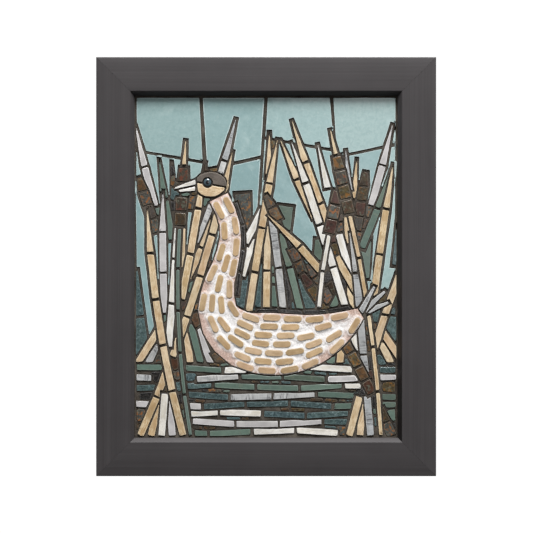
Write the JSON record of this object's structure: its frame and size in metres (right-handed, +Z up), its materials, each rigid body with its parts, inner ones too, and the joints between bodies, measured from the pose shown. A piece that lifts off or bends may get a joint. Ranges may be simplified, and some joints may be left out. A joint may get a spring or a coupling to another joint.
{
  "type": "mosaic wall panel",
  "caption": "Framed mosaic wall panel: a water bird among reeds in cut stone, ceramic and glass, with a painted wooden frame.",
  "frame": {"origin": "middle of the back face of the frame's top rail, where the panel rests on the wall", "axes": "+Z up, +X to the right as seen from the front, +Y into the wall, so the mosaic faces -Y"},
  "size_m": [0.43, 0.028, 0.53],
  "materials": {
    "painted_frame": "satin",
    "board": "matte",
    "dark_mortar": "matte",
    "pale_mortar": "matte",
    "tan_stone": "matte",
    "white_marble": "satin",
    "lavender_ceramic": "satin",
    "grey_stone": "satin",
    "sky_glaze": "gloss",
    "green_glass": "satin",
    "teal_glass": "gloss",
    "rust_brown_ceramic": "satin",
    "black_glass": "gloss",
    "brown_grey_stone": "matte",
    "bead_glass": "polished"
  },
  "bodies": {
    "root": {"back_line_01": "black_glass", "backing_board": "board", "bird_bill_lower": "white_marble", "bird_bill_upper": "white_marble", "bird_body": "pale_mortar", "bird_cap": "brown_grey_stone", "bird_cheek": "tan_stone", "bird_eye": "bead_glass", "frame_rail_bottom": "painted_frame", "frame_rail_left": "painted_frame", "frame_rail_right": "painted_frame", "frame_rail_top": "painted_frame", "mortar_bed": "dark_mortar", "reed_01": "tan_stone", "reed_02": "white_marble", "reed_03": "tan_stone", "reed_04": "lavender_ceramic", "reed_05": "tan_stone", "reed_06": "grey_stone", "reed_07": "tan_stone", "reed_08": "white_marble", "reed_09": "tan_stone", "reed_10": "green_glass", "reed_11": "tan_stone", "reed_12": "tan_stone", "reed_13": "lavender_ceramic", "reed_14": "tan_stone", "reed_15": "grey_stone", "reed_16": "tan_stone", "ripple_01": "green_glass", "ripple_02": "white_marble", "ripple_03": "teal_glass", "ripple_04": "grey_stone", "ripple_05": "green_glass", "ripple_06": "lavender_ceramic", "ripple_07": "teal_glass", "ripple_08": "green_glass", "rush_head_01": "rust_brown_ceramic", "rush_head_02": "rust_brown_ceramic", "rush_head_03": "rust_brown_ceramic", "rush_stem_01": "green_glass", "rush_stem_02": "tan_stone", "sky_01": "sky_glaze", "sky_02": "sky_glaze", "sky_03": "sky_glaze", "sky_04": "sky_glaze", "sky_05": "sky_glaze", "sky_06": "sky_glaze", "sky_07": "sky_glaze", "stalk_01": "rust_brown_ceramic", "stalk_02": "rust_brown_ceramic", "tail_feather_01": "grey_stone", "tail_feather_02": "grey_stone", "tail_feather_03": "grey_stone"}
  },
  "joints": []
}
